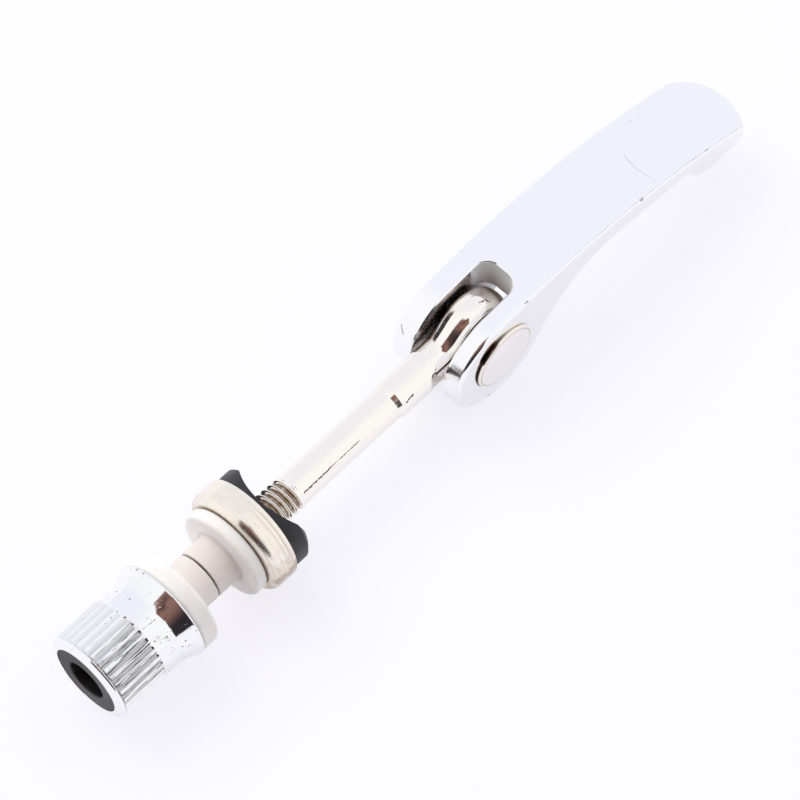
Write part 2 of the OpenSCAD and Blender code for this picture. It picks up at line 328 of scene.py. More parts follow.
def makeTurning():
    # lathe lines: noise that changes fast along the rod and away from its axis, and slowly round it
    tree, n, (place, lines, slow), out = newGroup(
        "turningLines", ["Height"], Place=None, Lines=4000.0, Round=60.0)
    x, y, z = n.split("XYZ", place)
    fromAxis = n.hypot(y, z - pivotPlace[2] / 1000)
    join = n.add("ShaderNodeCombineXYZ", (x + fromAxis) * lines, y * slow, z * slow)
    n.plug(out["Height"], n.noise(join.outputs[0], 1.0, 3.0, 0.6))
    return tree


def makeMark():
    # a scratch, chip or painted dark line: the distance to the line from Start to End, with a ragged edge
    tree, n, (place, start, end, width, ragged), out = newGroup(
        "edgeMark", ["Mask"], Place=None, Start=None, End=None, Width=0.0002, Ragged=0.5)
    along, away = n.vector("SUBTRACT", end, start), n.vector("SUBTRACT", place, start)
    part = n.math("DIVIDE", n.dot(away, along), n.highest(n.dot(along, along), 1e-12), clamp=True)
    nearest = n.add("ShaderNodeVectorMath", along, operation="SCALE")
    n.fill(nearest, Scale=part)
    distance = n.vector("DISTANCE", away, nearest.outputs["Vector"], "Value")
    width = width * n.ramp(n.noise(place, 2500.0, 2.0, 0.6), 0.3, 0.7, 1.0 - ragged, 1.0)
    n.plug(out["Mask"], 1.0 - n.ramp(distance, width * 0.5, width))
    return tree


def makeRodPlace():
    # a point's place from the pivot in millimetres: along the rod towards the nut, away from the rod's
    # axis, to the side and up
    tree, n, (place,), out = newGroup("rodPlace", ["Along", "Radius", "Side", "Height"], Place=None)
    x, y, z = (part * 1000.0 for part in n.split("XYZ", n.vector("SUBTRACT", place, tuple(pivotPlace / 1000))))
    for label, value in zip(("Along", "Radius", "Side", "Height"), (x * -1.0, n.hypot(y, z), y, z)):
        n.plug(out[label], value)
    return tree


pits, smudges, turningLines, edgeMark = makePits(), makeSmudges(), makeTurning(), makeMark()
rodPlace = makeRodPlace()


def newMaterial(name):
    material = bpy.data.materials.new(name)
    material.use_nodes = True
    n = NodeTree(material.node_tree)
    return material, n, n.add("ShaderNodeTexCoord").outputs["Object"]


def dress(n, colour, rough, height, strength, distance):
    # joins a finish to the material's shader, with the height as a bump
    shader = next(node for node in n.tree.nodes if node.type == "BSDF_PRINCIPLED")
    bump = n.fill(n.add("ShaderNodeBump"), Strength=strength, Distance=distance, Height=height)
    return n.fill(shader, **{"Base Color": colour, "Roughness": rough, "Normal": bump.outputs["Normal"]})


def inRow(x, y, z):
    # a point given from the pivot in millimetres, in the row's metres
    return tuple((np.array([x, y, z]) + pivotPlace) / 1000)


def marksOf(n, place, marks, ragged):
    # a mask for every scratch, chip or painted dark line, each given by its two ends and its width
    for start, end, width in marks:
        yield n.group(edgeMark, Place=place, Start=inRow(*start), End=inRow(*end), Width=width / 1000,
                      Ragged=ragged)


nickelLook = {"colour": (0.97, 0.935, 0.885, 1), "dull": (0.6, 0.52, 0.45, 1), "low": 0.05, "high": 0.1,
              "lines": 5200.0, "lineBump": 0.05, "pitCells": 900.0, "pitDensity": 0.02, "pitSize": 0.16}


def makeNickel(name, look, markingOf):
    # plated steel: warm mirror with turning lines, rare pits and soft smudges, and the piece's own marks, which on
    # the bolt and the pin are mostly painted shade and reflection
    material, n, place = newMaterial(name)
    pitMask = n.group(pits, Place=place, Cells=look["pitCells"], Density=look["pitDensity"],
                      Size=look["pitSize"])
    rough = n.group(smudges, Place=place, Low=look["low"], High=look["high"])
    colour, rough = markingOf(n, place, n.mixColour(pitMask, look["colour"], look["dull"]), rough)
    height = n.group(turningLines, Place=place, Lines=look["lines"]) * look["lineBump"] - pitMask
    shader = dress(n, colour, rough + pitMask * 0.35, height, 0.35, 0.00006)
    shader.inputs["Metallic"].default_value = 1.0
    return material


boltShadeAndMarks = {"scuff": (0.09, 0.06, 0.05, 1), "tarnish": (0.33, 0.25, 0.2, 1), "grime": (0.3, 0.22, 0.15, 1),
            "threadFrom": 50.8, "threadDeep": (3.25, 3.75), "farSide": (2.1, 2.8), "farSideTo": 12.5,
            "slotEnd": (-5.2, -6.2), "neckSide": (-3.1, -3.7), "neckFade": (16.0, 14.0), "neckFrom": 9.0,
            # the first three marks, lines along the shank and the neck, are a painted dark reflection; the last two
            # are a short bent dark mark on the eye's top
            "marks": [((-34.4, -2.79, 2.51), (-42.7, -2.83, 2.46), 0.18),
                      ((-42.7, -2.83, 2.46), (-50.0, -2.95, 2.33), 0.35),
                      ((-19.9, -3.36, 2.44), (-22.0, -3.48, 2.25), 0.35),
                      ((1.7, -1.0, 8.74), (3.1, -1.25, 8.31), 0.3), ((3.1, -1.25, 8.31), (3.5, -2.05, 7.84), 0.3)]}


def paintBoltShadeAndMarks(n, place, colour, rough):
    # dark marks first, of which the lines along the shank and the neck are a painted dark reflection, then painted
    # shade in the thread below its crests,
    # then a painted dark reflection: on the eye's far side and where it turns out of sight towards the slot's end,
    # and on the neck beside the other ear
    w = Named(**boltShadeAndMarks)
    for mark in marksOf(n, place, w.marks, 0.95):
        colour = n.mixColour(mark, colour, w.scuff)
    along, radius, side, _ = n.group(rodPlace, Place=place)
    deep = 1.0 - n.ramp(radius, *w.threadDeep)
    uneven = n.ramp(n.noise(place, 900.0, 3.0, 0.6), 0.25, 0.6, 0.45, 1.0)
    # painted shade: darker, browner and rougher in the thread's roots, below the crests
    grime = deep * uneven * (along > w.threadFrom)
    # painted dark reflection: the eye's far side, its end towards the slot's end and the neck's near side
    farSide = n.ramp(side, *w.farSide) * (along < w.farSideTo)
    slotEnd = n.ramp(along, *w.slotEnd, 0.0, 0.9)
    neckSide = n.ramp(side, *w.neckSide) * (n.ramp(along, *w.neckFade) * (along > w.neckFrom))
    cloudy = n.ramp(n.noise(place, 500.0, 3.0, 0.6), 0.25, 0.5, 0.6, 1.0)
    blotch = n.ramp(n.noise(place, 330.0, 4.0, 0.65), 0.4, 0.55, 0.1, 0.85)
    tarnish = n.highest(n.highest(farSide * 0.75, slotEnd) * cloudy, neckSide * blotch)
    colour = n.mixColour(tarnish, n.mixColour(grime, colour, w.grime), w.tarnish)
    return colour, rough + grime * 0.25


pinShadeAndRim = {"rim": (0.95, 0.89, 0.79, 1), "dirt": (0.09, 0.06, 0.05, 1), "lineR": 7.06, "lineEdge": (0.03, 0.09),
           "rimEdge": (7.1, 7.3), "foot": (9.35, 9.55), "footFade": (2.0, -3.0)}


def paintPinShadeAndRim(n, place, colour, rough):
    # a warmer colour on the head's rim, a thin painted dark reflection just inside it, and a painted contact shadow
    # round its foot on the side away from the lever
    w = Named(**pinShadeAndRim)
    along, _, side, height = n.group(rodPlace, Place=place)
    fromPin = n.hypot(along, height)
    # painted dark reflection just inside the rim
    line = 1.0 - n.ramp(abs(fromPin - w.lineR), *w.lineEdge)
    # painted contact shadow round the foot of the head
    foot = (1.0 - n.ramp(abs(side), *w.foot)) * n.ramp(along * -1.0, *w.footFade, 0.1, 0.95)
    colour = n.mixColour(n.ramp(fromPin, *w.rimEdge), colour, w.rim)
    return n.mixColour(n.highest(line * 0.8, foot), colour, w.dirt), rough


cupWear = {"stain": (0.51, 0.43, 0.345, 1), "low": (8.0, -1.0), "ring": (10.1, 10.5), "baseFrom": 66.9,
           "streakLines": 2400.0, "streakRound": 22.0, "streakSide": (1.0, -5.0)}


def wearCup(n, place, colour, rough):
    # blotches in the plating, the colour darker towards the bottom, streaks round it that are stronger on the near
    # side, and a dark ring beside the bush
    w = Named(**cupWear)
    along, radius, side, height = n.group(rodPlace, Place=place)
    blotch = n.ramp(n.noise(place, 420.0, 4.0, 0.65), 0.42, 0.62)
    low = n.ramp(height, *w.low)
    ring = (1.0 - n.ramp(radius, *w.ring)) * (along > w.baseFrom)
    lines = n.group(turningLines, Place=place, Lines=w.streakLines, Round=w.streakRound)
    streak = n.ramp(lines, 0.5, 0.62) * n.ramp(side, *w.streakSide, 0.1, 0.5)
    mottled = (low * 0.7 + 0.1) * (blotch + low * 0.7)
    return n.mixColour(n.highest(mottled, streak, ring * 0.8), colour, w.stain), rough


# the slot is 0.45 mm off the lever's middle, and the back is an arc whose height falls by backFall times
# the square of the distance from its top
aluminiumLook = {
    "colour": (0.965, 0.965, 0.985, 1), "chip": (0.42, 0.42, 0.44, 1), "grime": (0.07, 0.05, 0.045, 1),
    "low": 0.15, "high": 0.22, "castRough": 0.4, "castMatt": 0.8, "slotMiddle": -0.45, "slotHalf": 4.48,
    "slotTop": 11.9, "slotTo": 14.2, "castFrom": (3.5, 6.5), "wallFrom": (8.45, 8.65), "pinRing": (7.7, 8.05),
    "earFace": 8.9, "ringFade": (1.0, -4.5), "backX": 15.0, "backZ": 12.2, "backFall": 0.00316,
    "rimFrom": (0.22, 0.28), "rimTo": (0.4, 0.5), "lineY": -8.59, "lineEdge": (0.05, 0.1), "lineFade": (18.0, 50.0),
    "marks": [((46.7, 1.3, 9.0), (45.9, -2.6, 9.15), 0.1), ((45.9, -2.6, 9.15), (46.4, -7.8, 9.0), 0.1),
              ((40.4, -8.7, 10.1), (41.0, -8.7, 10.0), 0.45), ((6.2, -8.8, 11.9), (6.9, -8.9, 11.8), 0.4),
              ((60.6, -8.6, 5.4), (61.4, -8.6, 5.2), 0.25), ((54.4, 6.4, 7.2), (54.6, 6.4, 7.1), 0.17),
              ((46.7, 8.3, 9.0), (46.8, 8.3, 9.0), 0.14), ((6.2, 8.3, 11.9), (6.4, 8.3, 11.9), 0.2),
              ((-4.0, -9.0, -11.2), (-3.7, -9.0, -11.3), 0.3), ((-11.2, 8.0, 5.5), (-11.9, 6.8, 4.2), 0.22)]}


def makeAluminium():
    # polished and lacquered aluminium: even satin gloss, a few dents in the edge and one long scratch
    w = Named(**aluminiumLook)
    material, n, place = newMaterial("polishedAluminium")
    specks = n.group(pits, Place=place, Cells=260.0, Density=0.035, Size=0.06)
    wear = n.highest(0.0, *marksOf(n, place, w.marks, 0.7), specks * 0.5)
    rough = n.group(smudges, Place=place, Patches=60.0, Low=w.low, High=w.high)
    along, _, y, z = n.group(rodPlace, Place=place)
    x = along * -1.0
    # the end of the slot is left as cast, pale and matt; the fork's inner walls and the outer edges are buffed
    inSlot = (abs(y - w.slotMiddle) < w.slotHalf) * (z < w.slotTop) * (x < w.slotTo)
    asCast = inSlot * n.ramp(x, *w.castFrom)
    rough = rough * (1.0 - n.ramp(abs(y), *w.wallFrom) * 0.6) + asCast * w.castRough
    # painted contact shadow round the pin's head, a painted shade line just under the slot's rim, and a painted
    # dark reflection along the back's near edge
    ring = (1.0 - n.ramp(n.hypot(x, z), *w.pinRing)) * (abs(y) > w.earFace) * n.ramp(x, *w.ringFade, 0.1, 0.85)
    fromTop = x - w.backX
    depth = w.backZ - fromTop * fromTop * w.backFall - z
    rimLine = n.ramp(depth, *w.rimFrom) * (1.0 - n.ramp(depth, *w.rimTo)) * inSlot * (x > 3.0)
    broken = n.ramp(n.noise(place, 160.0, 3.0, 0.6), 0.4, 0.6, 0.3, 1.0)
    edgeLine = (1.0 - n.ramp(abs(y - w.lineY), *w.lineEdge)) * broken * n.ramp(x, *w.lineFade, 0.25, 1.0)
    # the chip colour also paints the dark reflection along the near edge and the shade line under the slot's rim
    colour = n.mixColour(n.highest(wear, edgeLine * (depth < 1.2)), w.colour, w.chip)
    colour = n.mixColour(ring, n.mixColour(rimLine * 0.75, colour, w.chip), w.grime)
    height = n.noise(place, 9000.0, 2.0, 0.6) * 0.1 - wear
    shader = dress(n, colour, rough + wear * 0.3, height, 0.3, 0.00006)
    n.fill(shader, Metallic=1.0 - asCast * w.castMatt)
    return material


nut = {"face": 85.55, "len": 20.6, "bore": 4.06, "flare": 11.1, "flareLen": 4.6, "neck": 9.55, "grip": 9.8,
       "gripLen": 10.5, "lip": 1.1, "flutes": 32, "fluteDepth": 0.4, "fluteR": 0.9, "pocket": 4.6,
       "pocketR": 7.7, "mouthR": 8.05, "crestSoft": 0.05, "insertBore": 4.35, "insertDeep": 0.1}
chromeLook = {"colour": (0.94, 0.945, 0.96, 1), "pit": (0.2, 0.2, 0.22, 1), "dirt": (0.07, 0.065, 0.075, 1),
              "haze": (0.5, 0.5, 0.52, 1), "low": 0.03, "high": 0.07,
              "clusters": [(92.7, 42, 9.6, 1.6), (91.0, 50, 9.6, 1.6), (91.6, 68, 9.6, 1.2), (99.3, -48, 9.8, 0.8),
                           (86.1, -33, 11.0, 0.7), (86.0, -22, 11.0, 0.6), (88.4, 78, 10.0, 1.0),
                           (104.0, 20, 9.7, 0.6)],
              "line": ((94.2, 22, 9.6), (90.6, 23.5, 9.6), 0.12)}


def onNut(d, turn, radius):
    # a place on the nut by its distance from the pivot, degrees round the rod and radius
    a = math.radians(turn)
    return -d, -radius * math.sin(a), radius * math.cos(a)


def makeChrome():
    # bright chrome with a fine orange-peel, pits in clusters, and painted shade with streaks in the flutes of the
    # grip, strongest on the near, upper side
    w, g = Named(**chromeLook), Named(**nut)
    material, n, place = newMaterial("brightChrome")
    fine = n.group(pits, Place=place, Cells=2600.0, Density=0.10, Size=0.34)
    coarse = n.group(pits, Place=place, Cells=1100.0, Density=0.05, Size=0.22)
    dense = n.group(pits, Place=place, Cells=1900.0, Density=0.75, Size=0.5)
    cluster = n.ramp(n.noise(place, 230.0), 0.5, 0.62)
    spots = [(onNut(*spot), onNut(*spot), reach) for *spot, reach in w.clusters]
    haze = n.highest(*marksOf(n, place, spots, 0.9))
    start, end, width = w.line
    line = next(marksOf(n, place, [(onNut(*start), onNut(*end), width)], 0.8))
    wear = n.highest(fine * cluster, coarse, haze * dense, line)
    along, radius, side, height = n.group(rodPlace, Place=place)
    gripEnd = g.face + g.len - g.lip
    onGrip = (along > gripEnd - g.gripLen) * (along < gripEnd)
    deep = 1.0 - n.ramp(radius, g.grip - g.fluteDepth + 0.1, g.grip - 0.1)
    facing = n.ramp(side, 2.0, -4.0) * n.ramp(height, -1.0, 3.0)
    grain = n.vector("MULTIPLY", place, (130.0, 3000.0, 3000.0))
    streak = n.ramp(n.noise(grain, 1.0, 4.0, 0.65), 0.52, 0.58) * (facing * 0.9 + 0.06)
    # painted shade in the flutes, with streaks, strongest on the near, upper side
    dirt = n.highest(deep * facing * 0.42 + deep * 0.08, streak) * onGrip
    rough = n.group(smudges, Place=place, Low=w.low, High=w.high)
    colour = n.mixColour(dirt, n.mixColour(haze * 0.22, w.colour, w.haze), w.dirt)
    peel = n.noise(place, 1300.0) * 0.22 - wear
    shader = dress(n, n.mixColour(wear, colour, w.pit), rough + wear * 0.4, peel, 0.4, 0.00008)
    shader.inputs["Metallic"].default_value = 1.0
    return material


nylonLook = {"colour": (0.94, 0.915, 0.905, 1), "stain": (0.905, 0.875, 0.865, 1), "stem": (0.76, 0.7, 0.68, 1),
             "stemR": (5.8, 6.6), "roughLow": 0.34, "roughHigh": 0.5}


def makeNylon():
    # moulded nylon: slightly see-through, greyer on the stem, with faint shade variation and a fine mould grain
    w = Named(**nylonLook)
    material, n, place = newMaterial("whiteNylon")
    patch = n.ramp(n.noise(place, 260.0, 4.0, 0.6), 0.35, 0.65)
    stem = (1.0 - n.ramp(n.group(rodPlace, Place=place)[1], *w.stemR)) * 0.8
    colour = n.mixColour(stem, n.mixColour(patch, w.colour, w.stain), w.stem)
    rough = n.group(smudges, Place=place, Low=w.roughLow, High=w.roughHigh)
    shader = dress(n, colour, rough, n.noise(place, 2600.0, 3.0, 0.6), 0.12, 0.0001)
    n.fill(shader, **{"IOR": 1.5, "Subsurface Weight": 0.35, "Subsurface Radius": (0.0016, 0.0012, 0.001),
                      "Subsurface Scale": 1.0})
    return material


saddleLook = {"name": "blackSaddle", "colour": (0.009, 0.008, 0.011, 1), "worn": (0.02, 0.018, 0.023, 1),
              "low": 0.38, "high": 0.55, "grain": 3800.0, "dust": 0.03, "dustColour": (0.4, 0.38, 0.37, 1)}
insertLook = dict(saddleLook, name="blackInsert", colour=(0.006, 0.005, 0.006, 1), worn=(0.014, 0.013, 0.015, 1),
                  low=0.4, grain=5000.0, dust=0.015)


def makeBlack(look):
    # black moulded plastic with a fine spark-eroded grain and light dust
    w = Named(**look)
    material, n, place = newMaterial(w.name)
    patch = n.ramp(n.noise(place, 300.0, 3.0, 0.6), 0.35, 0.75)
    dust = n.group(pits, Place=place, Cells=1400.0, Density=w.dust, Size=0.12)
    colour = n.mixColour(dust * 0.6, n.mixColour(patch, w.colour, w.worn), w.dustColour)
    rough = n.group(smudges, Place=place, Low=w.low, High=w.high)
    dress(n, colour, rough, n.noise(place, w.grain, 3.0, 0.6), 0.3, 0.00008)
    return material


rodMetal = makeNickel("nickelRod", nickelLook, paintBoltShadeAndMarks)
pinMetal = makeNickel("nickelPin", dict(nickelLook, colour=(0.97, 0.93, 0.915, 1), lineBump=0.02), paintPinShadeAndRim)
cupMetal = makeNickel("nickelCup", dict(nickelLook, colour=(0.948, 0.895, 0.81, 1), low=0.1, high=0.2, lineBump=2.4,
                                        pitDensity=0.08), wearCup)
leverMetal, chrome, nylon = makeAluminium(), makeChrome(), makeNylon()
saddleBlack, insertBlack = makeBlack(saddleLook), makeBlack(insertLook)
print("materials made")


# eye bolt

bolt = {"thread": 4.0, "pitch": 1.5, "threadDepth": 0.85, "shank": 3.75, "neck": 4.15, "stepAt": 22.8,
        "stepLen": 1.3, "threadAt": 51.0, "end": 100.85, "endBevel": 0.8, "eye": 9.0, "eyeFall": 2.1,
        "eyeHalf": 3.5, "eyeBlend": 2.6, "flatAt": 14.0, "flatRun": 1.6, "flatEdge": 0.3, "headTo": 16.2,
        "bore": 3.05, "toothTip": 0.12, "toothRun": 0.66, "fineFrom": 50.5, "fineTo": 58.5}
b = Named(**bolt)


def headReach(x, angle):
    # how far the solid reaches from the rod's axis. Its inside is where a rule in x, y and z is below
    # zero: a disc about the pivot whose rim falls away along an ellipse, joined softly to the neck and
    # cut softly by two flat sides. Each ray out from the axis is halved until it ends on the surface
    low, high = np.zeros_like(x + angle), np.full_like(x + angle, 12.0)
    half = np.interp(-x, [b.flatAt, b.flatAt + b.flatRun], [b.eyeHalf, b.neck + 0.4])
    for _ in range(40):
        reach = (low + high) / 2
        y, z = reach * np.sin(angle), reach * np.cos(angle)
        crown = np.sqrt(np.clip(1 - (y / b.eyeHalf) ** 2, 0, 1))
        disc = np.hypot(x, z) - (b.eye - b.eyeFall * (1 - crown))
        neck = np.maximum(reach - b.neck, x + 3)
        rule = softMax(softMin(disc, neck, b.eyeBlend), np.abs(y) - half, b.flatEdge)
        low, high = np.where(rule < 0, reach, low), np.where(rule < 0, high, reach)
    return (low + high) / 2


def rodReach(d, angle):
    # a straight cone at the step, then the shank, then the thread: a groove whose depth depends on
    # how far the point is along the right-handed helix
    stepEnd = b.stepAt + b.stepLen
    radius = np.interp(d, [b.stepAt - 0.05, b.stepAt + 0.1, stepEnd - 0.15, stepEnd, b.threadAt - 0.4, b.threadAt],
                       [b.neck, b.neck - 0.04, b.shank + 0.04, b.shank, b.shank, b.thread])
    radius = radius - np.clip(d - b.end + b.endBevel, 0, b.endBevel)
    phase = (d - b.threadAt) / b.pitch + angle / tau
    tooth = np.abs((phase % 1) * 2 - 1)
    flank = np.clip((tooth - b.toothTip) / b.toothRun, 0, 1)
    groove = 0.45 * flank + 0.55 * smoothStep(flank)
    start = smoothStep((d - b.threadAt - 0.2) / 0.7)
    finish = smoothStep((b.end - 0.6 - d) / 0.6)
    return radius - b.threadDepth * groove * start * finish


def makeBolt():
    # rows of points down the eye and the rod, closer where it curves, with more round the flat sides
    even = circle(128)
    angle = (even - 0.28 * np.sin(2 * even))[None, :]
    headX = b.eye * np.cos(np.concatenate([[0.004, 0.02], np.linspace(0.05, math.pi - 0.05, 84)]))
    headX = np.concatenate([headX, np.linspace(headX[-1], -b.flatAt, 18)[1:],
                            np.linspace(-b.flatAt, -b.headTo, 12)[1:]])[:, None]
    stepRows = b.stepAt + np.array([-0.3, -0.05, 0.1, 0.12, 0.35, 0.65, 0.95, 1.13, 1.15, 1.3, 1.6])
    rodD = np.concatenate([
        [17.0, 19.5, 22.0], stepRows, np.linspace(25.5, b.fineFrom - 0.1, 12),
        np.arange(b.fineFrom, b.fineTo, b.pitch / 26), np.arange(b.fineTo, b.end - b.endBevel, b.pitch / 9),
        np.linspace(b.end - 0.75, b.end, 6)])[:, None]
    reach = np.concatenate([headReach(headX, angle), rodReach(rodD, angle)])
    points = aroundRod(np.concatenate([headX, -rodD]), reach, angle)
    ends = points[[0, -1]] * [1, 0, 0]
    mesh = meshOf("eyeBolt", np.concatenate([ends[:1], points, ends[1:]]))
    finishPiece(mesh, "skewer", "eye_bolt", rodMetal, 68, [cylinderCutter(b.bore, 0, 12, 96)])


# lever

lever = {"camX": -0.6, "camZ": -0.9, "camR": 12.4, "half": 9.0, "backTop": 12.2, "backX": 15.0, "backR": 158.0,
         "beam": 6.1, "throat": 24.0, "waist": 3.5, "reach": 76.4, "padBack": 11.8, "padLow": 3.1, "padR": 9.7,
         "padOutR": 36.0, "padBlend": 2.0, "tipNear": 12.5, "tipFar": 9.0, "tipEdge": 0.4, "tipFrom": 62.0,
         "slotHalf": 4.45, "slotMiddle": -0.45, "slotReach": 8.85, "slotCorner": 3.3, "slotEdge": 0.25,
         "roomR": 9.2, "roomX": 5.0, "roomZ": -4.4, "pinBore": 3.02, "backEdge": 0.45, "camEdge": 0.9,
         "edgeFrom": 2.0, "edgeRun": 14.0, "sideSoft": 0.3}


def leverForm():
    # the arcs of the side outline, as (middle x, middle z, radius), and the points where they and the
    # straight lines meet, worked out from the sizes above
    g = Named(**lever)
    backZ = g.backTop - g.backR
    hollowZ = g.backTop - g.beam - g.throat
    reach = g.camR + g.throat
    g.hollowX = math.sqrt(reach ** 2 - (hollowZ - g.camZ) ** 2) + g.camX
    g.touchX = g.camX + g.camR * (g.hollowX - g.camX) / reach
    g.padX, padZ = g.reach - g.padBack, g.padR - g.padLow
    waistX = g.padX - 0.95 * g.padR
    waistZ = backZ + math.sqrt(g.backR ** 2 - (waistX - g.backX) ** 2) - g.waist
    away = np.array([g.camX - g.backX, g.camZ - backZ])
    g.backStart = g.camX + g.camR * away[0] / np.linalg.norm(away)
    first = np.array([g.hollowX, g.backTop - g.beam])
    along = np.array([waistX, waistZ]) - first
    along = along / np.linalg.norm(along)
    below = np.array([along[1], -along[0]])
    start = first + below * g.padBlend - np.array([g.padX, padZ])
    half = start @ along
    far = g.padR + g.padBlend
    run = -half - math.sqrt(half ** 2 - start @ start + far ** 2)
    g.footX, g.footZ = foot = first + along * run
    blendX, blendZ = foot + below * g.padBlend
    g.seatX = g.padX + g.padR * (blendX - g.padX) / far
    g.slope = along[1] / along[0]
    g.cam, g.back = (g.camX, g.camZ, g.camR), (g.backX, backZ, g.backR)
    g.hollow, g.blend = (g.hollowX, hollowZ, g.throat), (blendX, blendZ, g.padBlend)
    g.pad, g.padOut = (g.padX, padZ, g.padR), (g.padX, g.padOutR - g.padLow, g.padOutR)
    return g


form = leverForm()


def arcHeight(x, arc, side):
    middleX, middleZ, radius = arc
    return middleZ + side * np.sqrt(np.maximum(radius ** 2 - (x - middleX) ** 2, 0))


def leverTop(x):
    # the cam's circle as far as the back begins, then the long arc of the back
    return np.where(x < form.backStart, arcHeight(x, form.cam, 1), arcHeight(x, form.back, 1))


def leverUnder(x):
    # the cam's circle, the hollow, the straight underside, the blend and the two arcs of the finger pad
    parts = [arcHeight(x, form.cam, -1), arcHeight(x, form.hollow, 1), form.footZ + (x - form.footX) * form.slope,
             arcHeight(x, form.blend, 1), arcHeight(x, form.pad, -1)]
    limits = [form.touchX, form.hollowX, form.footX, form.seatX, form.padX]
    return np.select([x < limit for limit in limits], parts, arcHeight(x, form.padOut, -1))


def onArc(arc, fromX, toX, count):
    # stations spaced evenly by angle on an arc
    middle, _, radius = arc
    a = np.linspace(*(math.acos(np.clip((x - middle) / radius, -1, 1)) for x in (fromX, toX)), count)
    return middle + radius * np.cos(a)


def leverStations():
    g = form
    return np.concatenate([
        onArc(g.cam, g.camX - g.camR, g.camX, 34), onArc(g.cam, g.camX, g.touchX, 26)[1:],
        onArc(g.hollow, g.touchX, g.hollowX, 34)[1:], np.linspace(g.hollowX, g.footX, 24)[1:],
        onArc(g.blend, g.footX, g.seatX, 9)[1:], onArc(g.pad, g.seatX, g.padX, 18)[1:],
        np.linspace(g.padX, g.reach - g.tipEdge, 22)[1:]])


def leverOutline(y):
    # closed side outlines, one for each y: the under chain out to the tip, then the top chain back.
    # The tip is drawn in as y grows, so that it is round seen from above
    g = form
    x0 = leverStations()
    tipR = np.where(y > 0, g.tipFar, g.tipNear)
    tipX = g.reach - tipR + np.sqrt(np.maximum(tipR ** 2 - y ** 2, 0))
    stretch = (tipX - g.tipEdge - g.tipFrom) / (g.reach - g.tipEdge - g.tipFrom)
    x = np.where(x0 > g.tipFrom, g.tipFrom + (x0 - g.tipFrom) * stretch[:, None], x0)
    top, under = leverTop(x), leverUnder(x)
    middle = (top[:, -1:] + under[:, -1:]) / 2
    half = top[:, -1:] - middle
    edge = np.minimum(g.tipEdge, 0.95 * half)
    turn = np.linspace(0, math.pi / 2, 7)[None, 1:]
    noseX = x[:, -1:] + g.tipEdge * np.sin(turn)
    noseZ = half - edge * (1 - np.cos(turn))
    wall = (half - edge) * np.linspace(1, 0, 4)[None, 1:]
    x = np.concatenate([x, noseX, np.repeat(noseX[:, -1:], 3, 1)], 1)
    rise = np.concatenate([noseZ, wall], 1)
    top = np.concatenate([top, middle + rise], 1)
    under = np.concatenate([under, middle - rise], 1)
    return np.concatenate([x, x[:, -2:0:-1]], 1), np.concatenate([under, top[:, -2:0:-1]], 1)


def makeLever():
    # the outline carried across the width: full size between the edges, drawn in along its own normal
    # by a quarter circle at each edge, and closed by flat sides that meet at the outline's middle line
    rows = [(1.0, 1.0, inwards) for inwards in (1.0, 0.66, 0.33, 0.04)]
    rows += [(math.cos(a), 1 - math.sin(a), 0.0) for a in np.linspace(0, math.pi / 2, 8)]
    across = np.sin(np.linspace(0.47 * math.pi, -0.47 * math.pi, 41))
    out, inset, toMiddle = (np.concatenate([v, across * 0, v[::-1]]) for v in np.array(rows).T)
    lean = np.concatenate([-np.ones(len(rows)), -across, np.ones(len(rows))])
    loopX, loopZ = leverOutline(lean * (form.half - form.sideSoft) + np.sign(lean) * out * form.sideSoft)
    runX = np.roll(loopX, -1, 1) - np.roll(loopX, 1, 1)
    runZ = np.roll(loopZ, -1, 1) - np.roll(loopZ, 1, 1)
    size = np.hypot(runX, runZ)
    edge = form.camEdge + (form.backEdge - form.camEdge) * smoothStep((loopX - form.edgeFrom) / form.edgeRun)
    x = loopX - runZ / size * edge * inset[:, None]
    z = loopZ + runX / size * edge * inset[:, None]
    y = lean[:, None] * (form.half - edge) + np.sign(lean)[:, None] * out[:, None] * edge
    mirror = -np.arange(loopX.shape[1]) % loopX.shape[1]
    x = x + (x[:, mirror] - x) / 2 * toMiddle[:, None]
    z = z + (z[:, mirror] - z) / 2 * toMiddle[:, None]
    room = cylinderCutter(form.roomR, [form.roomX, form.slotMiddle, form.roomZ], form.slotHalf - 0.02, 160)
    finishPiece(meshOf("leverArm", np.stack([x, y, z], -1)), "lever", "lever", leverMetal, 28,
                [slotCutter(), room, cylinderCutter(form.pinBore, 0, 12, 96)])


def slotCutter():
    # the slot seen from above, two straight sides and an end with round corners, carried upwards.
    # Near the lever's back it opens at 45 degrees, which leaves a small chamfer all round
    half, corner, c = form.slotHalf, form.slotCorner, form.slotEdge
    cornerX = form.slotReach - corner
    straight = np.concatenate([[-20.0], np.linspace(-12.5, cornerX, 50)])
    turn = np.linspace(0, math.pi / 2, 20)[1:]
    outX = np.concatenate([straight * 0, np.sin(turn)])
    outY = np.concatenate([straight * 0 + 1, np.cos(turn)])
    planX = np.concatenate([straight, cornerX + corner * np.sin(turn)])
    planY = np.concatenate([straight * 0 + half, half - corner + corner * np.cos(turn)])
    outX, planX = (np.concatenate([v, v[::-1]]) for v in (outX, planX))
    outY, planY = (np.concatenate([v, -v[::-1]]) for v in (outY, planY))
    lid = leverTop(np.clip(planX, -12.2, 12))
    low, high = lid * 0 - 20, lid * 0 + 20
    rows = []
    for z, wider, size in ((low, 0, 0), (low, 0, 1), (lid - c, 0, 1), (lid + 0.6, c + 0.6, 1), (high, c + 0.6, 1),
                           (high, 0, 0)):
        rows.append(np.stack([planX + outX * wider, form.slotMiddle + (planY + outY * wider) * size, z], -1))
    return meshOf("cutter", np.stack(rows))


# pivot pin

pin = {"radius": 3.0, "seat": 9.01, "head": 7.6, "edge": 0.75, "dome": 0.55, "round": 0.4, "under": 0.28}


